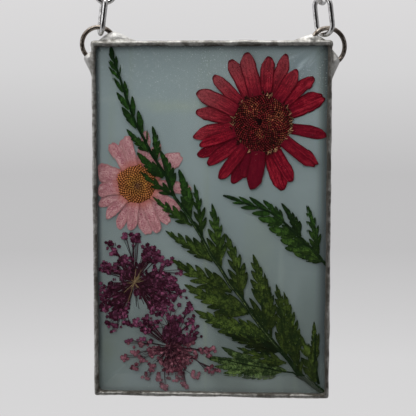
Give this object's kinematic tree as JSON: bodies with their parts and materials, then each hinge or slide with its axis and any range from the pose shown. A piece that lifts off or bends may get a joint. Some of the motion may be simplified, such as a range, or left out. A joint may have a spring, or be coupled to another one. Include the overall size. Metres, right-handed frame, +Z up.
{
  "type": "pressed flower frame",
  "caption": "Hanging pressed flower frame: two glass panes with dried flowers between them, a solder border, wire loops and oval-link chains.",
  "frame": {"origin": "the hanging point, midway between the two chains' top links, in the plane that the frame hangs in", "axes": "+Z up, +X to the right seen from the front, the front of the frame faces -Y"},
  "size_m": [0.1153, 0.011, 0.2029],
  "materials": {
    "front_glass": "polished, clear, bevelled",
    "back_glass": "wispy pale blue-grey opalescent",
    "solder": "lumpy tinned solder with a dark patina",
    "loop_wire": "tarnished coppery wire",
    "chain_steel": "bright plated steel",
    "red_petal": "dry crimson petal",
    "red_disc": "dry florets, maroon and tan",
    "pink_petal": "dry speckled pink petal",
    "pink_disc": "dry orange-brown florets",
    "umbel": "dry purple florets and stalks",
    "frond": "dry olive-green leaf"
  },
  "bodies": {
    "chains": {"left_link_1": "chain_steel", "left_link_2": "chain_steel", "left_link_3": "chain_steel", "right_link_1": "chain_steel", "right_link_2": "chain_steel", "right_link_3": "chain_steel"},
    "frame": {"back_glass": "back_glass", "front_glass": "front_glass", "left_loop": "loop_wire", "long_frond": "frond", "long_frond_lower_leaf": "frond", "long_frond_side_sprig": "frond", "lower_umbel": "umbel", "pink_daisy_disc": "pink_disc", "pink_petal_01": "pink_petal", "pink_petal_02": "pink_petal", "pink_petal_03": "pink_petal", "pink_petal_04": "pink_petal", "pink_petal_05": "pink_petal", "pink_petal_06": "pink_petal", "pink_petal_07": "pink_petal", "pink_petal_08": "pink_petal", "pink_petal_09": "pink_petal", "pink_petal_10": "pink_petal", "pink_petal_11": "pink_petal", "pink_petal_12": "pink_petal", "pink_petal_13": "pink_petal", "pink_petal_14": "pink_petal", "pink_petal_15": "pink_petal", "pink_petal_16": "pink_petal", "pink_petal_17": "pink_petal", "red_daisy_disc": "red_disc", "red_petal_01": "red_petal", "red_petal_02": "red_petal", "red_petal_03": "red_petal", "red_petal_04": "red_petal", "red_petal_05": "red_petal", "red_petal_06": "red_petal", "red_petal_07": "red_petal", "red_petal_08": "red_petal", "red_petal_09": "red_petal", "red_petal_10": "red_petal", "red_petal_11": "red_petal", "red_petal_12": "red_petal", "red_petal_13": "red_petal", "red_petal_14": "red_petal", "red_petal_15": "red_petal", "red_petal_16": "red_petal", "red_petal_17": "red_petal", "red_petal_18": "red_petal", "red_petal_19": "red_petal", "red_petal_20": "red_petal", "red_petal_21": "red_petal", "red_petal_22": "red_petal", "right_loop": "loop_wire", "small_frond": "frond", "solder_border": "solder", "upper_umbel": "umbel"}
  },
  "joints": [
    {"name": "frame_swing", "type": "hinge", "parent": "chains", "child": "frame", "pos_m": [0.00047, -0.00018, -0.03902], "axis": [1, -0.0038, -0.0083], "range_deg": [-30, 30]}
  ]
}
